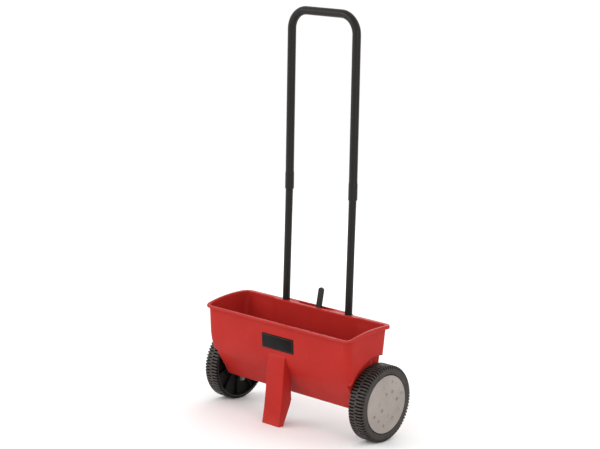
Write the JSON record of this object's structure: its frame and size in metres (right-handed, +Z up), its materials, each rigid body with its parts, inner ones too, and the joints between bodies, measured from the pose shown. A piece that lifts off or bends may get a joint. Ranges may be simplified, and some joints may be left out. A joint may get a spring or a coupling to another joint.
{
  "type": "garden spreader",
  "caption": "Walk-behind drop spreader with an open red hopper, two large wheels, a front rest foot, a tall tube handle and a dose lever that slides a shutter.",
  "frame": {"origin": "centre of the footprint's bounding box, on the floor", "axes": "+X to the spreader's right seen from behind it, +Y to the back where the handle stands, +Z up"},
  "size_m": [0.555, 0.2441, 1.0775],
  "materials": {
    "red_plastic": "satin",
    "black_plastic": "matte",
    "wheel_plastic": "matte",
    "grey_plastic": "satin",
    "black_paint": "gloss",
    "zinc_steel": "satin",
    "badge_print": "gloss"
  },
  "bodies": {
    "hopper_frame": {"axle_bush_left": "black_plastic", "axle_bush_right": "black_plastic", "front_badge": "badge_print", "handle_bow": "black_paint", "hopper_shell": "red_plastic", "lever_screw": "zinc_steel", "lever_washer": "zinc_steel", "lower_tube_left": "black_paint", "lower_tube_right": "black_paint", "rail_screw_1": "zinc_steel", "rail_screw_2": "zinc_steel", "rail_screw_3": "zinc_steel", "rail_screw_4": "zinc_steel", "rail_screw_5": "zinc_steel", "rail_screw_6": "zinc_steel", "shutter_rail_front": "black_plastic", "shutter_rail_rear_left": "black_plastic", "shutter_rail_rear_right": "black_plastic", "snap_button_left": "zinc_steel", "snap_button_right": "zinc_steel", "tube_nut_left": "zinc_steel", "tube_nut_right": "zinc_steel", "tube_screw_left": "zinc_steel", "tube_screw_right": "zinc_steel"},
    "drive_axle": {"axle_rod": "zinc_steel", "agitator": "black_plastic", "agitator_pin": "zinc_steel", "drive_pin": "zinc_steel", "wheel_right": "wheel_plastic", "wheel_cap_right": "grey_plastic", "push_nut_right": "zinc_steel", "push_nut_left": "zinc_steel"},
    "free_wheel": {"wheel_left": "wheel_plastic", "wheel_cap_left": "grey_plastic"},
    "lever": {"dose_lever": "black_plastic"},
    "shutter": {"shutter_plate": "zinc_steel", "shutter_stop": "grey_plastic"}
  },
  "joints": [
    {"name": "axle_spin", "type": "hinge", "parent": "hopper_frame", "child": "drive_axle", "pos_m": [0, 0.02218, 0.1], "axis": [1, 0, 0], "continuous": true},
    {"name": "free_wheel_spin", "type": "hinge", "parent": "hopper_frame", "child": "free_wheel", "pos_m": [0, 0.02218, 0.1], "axis": [1, 0, 0], "continuous": true},
    {"name": "lever_swing", "type": "hinge", "parent": "hopper_frame", "child": "lever", "pos_m": [-0.0118, 0.05248, 0.15036], "axis": [0, 0.9992, 0.0401], "range_deg": [-20, 9]},
    {"name": "shutter_slide", "type": "slide", "parent": "hopper_frame", "child": "shutter", "axis": [1, 0, 0], "range_m": [-0.01, 0.0222]}
  ],
  "couplings": [
    {"joint": "shutter_slide", "follows": "lever_swing", "m_per_rad": -0.0632}
  ]
}
